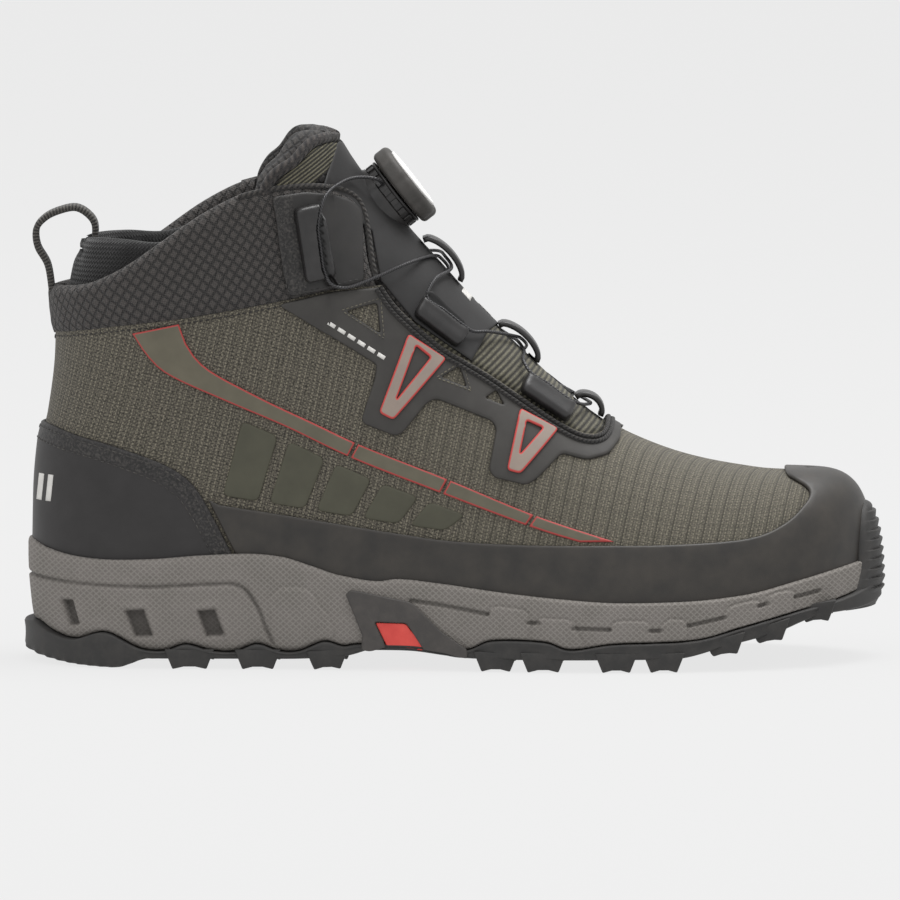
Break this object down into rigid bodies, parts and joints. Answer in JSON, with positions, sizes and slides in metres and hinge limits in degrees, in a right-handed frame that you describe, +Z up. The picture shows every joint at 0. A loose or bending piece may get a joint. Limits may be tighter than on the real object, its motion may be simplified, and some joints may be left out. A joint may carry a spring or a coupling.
{
  "type": "hiking boot",
  "caption": "Mid-height hiking boot for the right foot with a dial lacing system, padded collar, heel pull loop and lugged sole.",
  "frame": {"origin": "centre of the boot's footprint box, on the ground it stands on", "axes": "+X to the toe, +Y to the inner side of a right foot, +Z up"},
  "size_m": [0.306, 0.111, 0.1886],
  "materials": {
    "textile": "olive-grey ripstop weave",
    "lining_fabric": "dark lining fabric",
    "stiffener": "thermoplastic sheet",
    "counter_film": "dark matt moulded film with a grained, stitched border",
    "rand_film": "dark smooth moulded film",
    "facing_film": "dark smooth film",
    "stripe_film": "olive film with a thin red outline",
    "loop_film": "greyish pink film with a thin red outline",
    "collar_knit": "charcoal knit with a raised diamond pattern",
    "collar_foam": "soft foam padding",
    "liner_fabric": "black padded fabric",
    "panel_film": "smooth dark film",
    "webbing": "black webbing",
    "tongue_fabric": "ribbed olive knit with black padding",
    "shield_film": "dark smooth coated fabric",
    "dial_plastic": "dark moulded plastic",
    "dial_grip": "dark grey soft grip",
    "dial_face": "light grey disc",
    "guide_plastic": "dark moulded plastic",
    "lace_wire": "coated steel lace",
    "midsole_foam": "grey moulded foam with fine crossed lines",
    "shank_plastic": "stiff nylon",
    "outsole_rubber": "dark rubber",
    "arch_plastic": "red moulded plastic",
    "board": "stiff non-woven board",
    "footbed_fabric": "fabric-topped foam"
  },
  "bodies": {
    "root": {"quarter_lateral": "textile", "quarter_medial": "textile", "vamp": "textile", "lining": "lining_fabric", "heel_cup_stiffener": "stiffener", "toe_puff": "stiffener", "heel_counter": "counter_film", "rand": "rand_film", "facing_lateral": "facing_film", "facing_medial": "facing_film", "side_stripe_lateral": "stripe_film", "side_stripe_medial": "stripe_film", "facing_loop_upper_lateral": "loop_film", "facing_loop_upper_medial": "loop_film", "facing_loop_lower_lateral": "loop_film", "facing_loop_lower_medial": "loop_film", "collar_cover": "collar_knit", "collar_foam": "collar_foam", "heel_liner": "liner_fabric", "ankle_panel_lateral": "panel_film", "ankle_panel_medial": "panel_film", "heel_pull_loop": "webbing", "tongue_guide_upper": "webbing", "tongue_guide_middle": "webbing", "tongue_guide_lower": "webbing", "tongue": "tongue_fabric", "tongue_shield": "shield_film", "dial_base": "dial_plastic", "ankle_guide_lateral": "guide_plastic", "ankle_guide_medial": "guide_plastic", "facing_guide_upper_lateral": "guide_plastic", "facing_guide_upper_medial": "guide_plastic", "facing_guide_lower_lateral": "guide_plastic", "facing_guide_lower_medial": "guide_plastic", "lace": "lace_wire", "midsole": "midsole_foam", "shank": "shank_plastic", "outsole": "outsole_rubber", "arch_insert_lateral": "arch_plastic", "arch_insert_medial": "arch_plastic", "lasting_board": "board", "footbed": "footbed_fabric"},
    "spool": {"dial_spool": "dial_plastic"},
    "knob": {"dial_knob": "dial_grip", "dial_cap": "dial_face"}
  },
  "joints": [
    {"name": "dial_turn", "type": "hinge", "parent": "root", "child": "spool", "pos_m": [-0.02453, 0.0012, 0.16326], "axis": [0.788, 0, 0.6157], "continuous": true},
    {"name": "dial_pull", "type": "slide", "parent": "spool", "child": "knob", "axis": [0.788, 0, 0.6157], "range_m": [0, 0.0025]}
  ]
}
